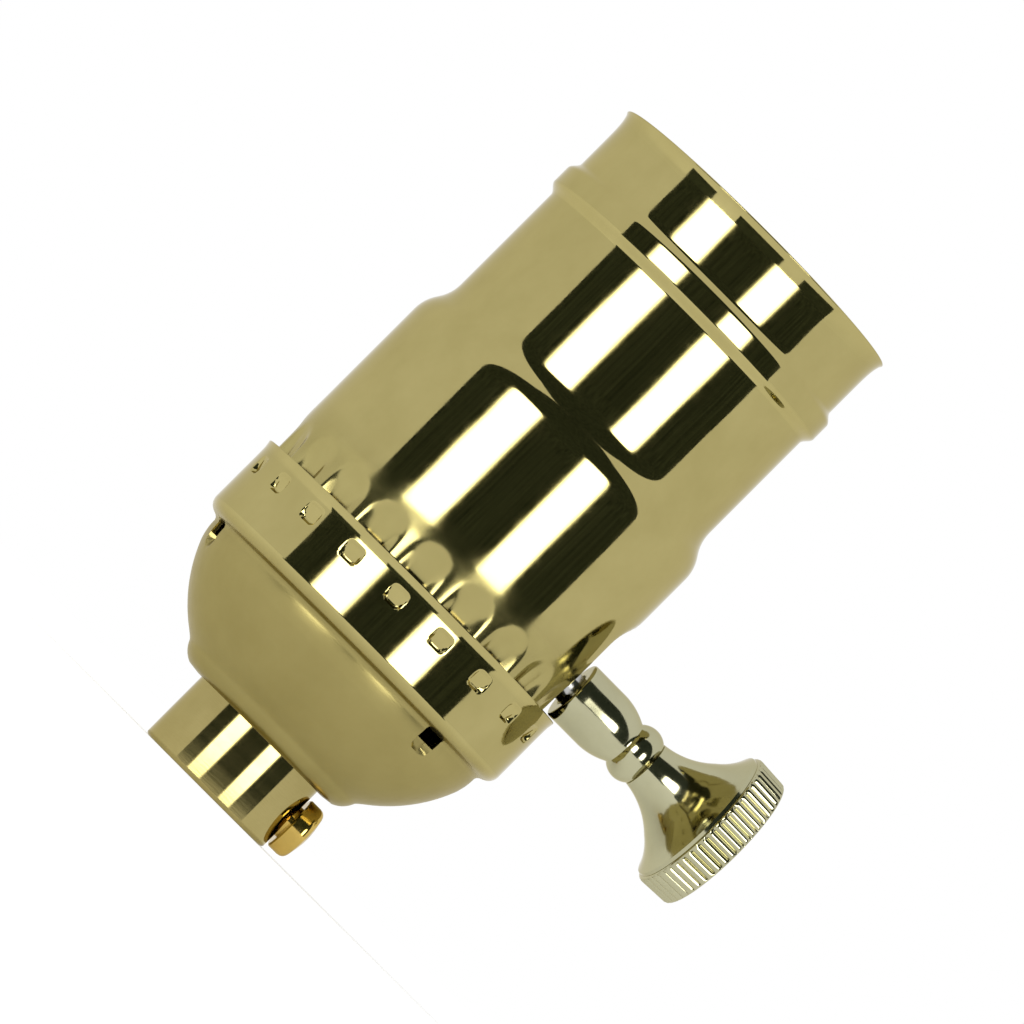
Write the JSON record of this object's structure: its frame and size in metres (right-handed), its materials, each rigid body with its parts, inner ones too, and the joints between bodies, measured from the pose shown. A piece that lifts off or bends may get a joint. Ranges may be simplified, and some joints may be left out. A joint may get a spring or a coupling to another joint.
{
  "type": "lamp holder",
  "caption": "Turn-knob lamp holder for a screw-base lamp: drawn brass shell and cap, threaded hub with set screw, moulded switch body, and a fluted side knob.",
  "frame": {"origin": "centre of the hub's bottom face, on the lamp axis", "axes": "+Z along the lamp axis to the mouth, +X along the switch shaft towards the knob"},
  "size_m": [0.0558, 0.0362, 0.0704],
  "materials": {
    "shell_brass": "polished",
    "screw_brass": "polished",
    "knob_plate": "polished plating",
    "contact_brass": "plain rolled",
    "nickel_plate": "bright plating",
    "steel": "drawn",
    "phenolic": "moulded",
    "fibre": "pressed fibre"
  },
  "bodies": {
    "holder": {"cap": "shell_brass", "hub": "shell_brass", "cap_insulator": "fibre", "body_base": "phenolic", "contact_block": "phenolic", "screw_shell": "contact_brass", "centre_contact": "contact_brass", "contact_rivet": "contact_brass", "shell_rivet": "contact_brass", "assembly_screws": "steel", "hot_plate": "contact_brass", "neutral_plate": "contact_brass", "line_contact": "contact_brass", "line_rivet": "contact_brass", "load_contact": "contact_brass", "detent_spring": "steel", "shaft_bushing": "contact_brass"},
    "shell_part": {"shell": "shell_brass", "shell_liner": "fibre"},
    "switch": {"knob": "knob_plate", "switch_shaft": "steel", "rotor": "phenolic", "rotor_contact": "contact_brass", "switch_cam": "phenolic", "shaft_clip": "steel"},
    "set_screw_part": {"set_screw": "screw_brass"},
    "hot_screw_part": {"hot_screw": "screw_brass"},
    "neutral_screw_part": {"neutral_screw": "nickel_plate"}
  },
  "joints": [
    {"name": "knob_turn", "type": "hinge", "parent": "holder", "child": "switch", "pos_m": [0.0173, 0, 0.0299], "axis": [1, 0, 0], "continuous": true},
    {"name": "shell_lift", "type": "slide", "parent": "holder", "child": "shell_part", "axis": [0, 0, 1], "range_m": [0, 0.045]},
    {"name": "set_screw_travel", "type": "slide", "parent": "holder", "child": "set_screw_part", "axis": [0.9976, -0.0698, 0], "range_m": [-0.00015, 0.0022]},
    {"name": "hot_screw_travel", "type": "slide", "parent": "holder", "child": "hot_screw_part", "axis": [0, 1, 0], "range_m": [0, 0.0014]},
    {"name": "neutral_screw_travel", "type": "slide", "parent": "holder", "child": "neutral_screw_part", "axis": [0, -1, 0], "range_m": [0, 0.0014]}
  ]
}
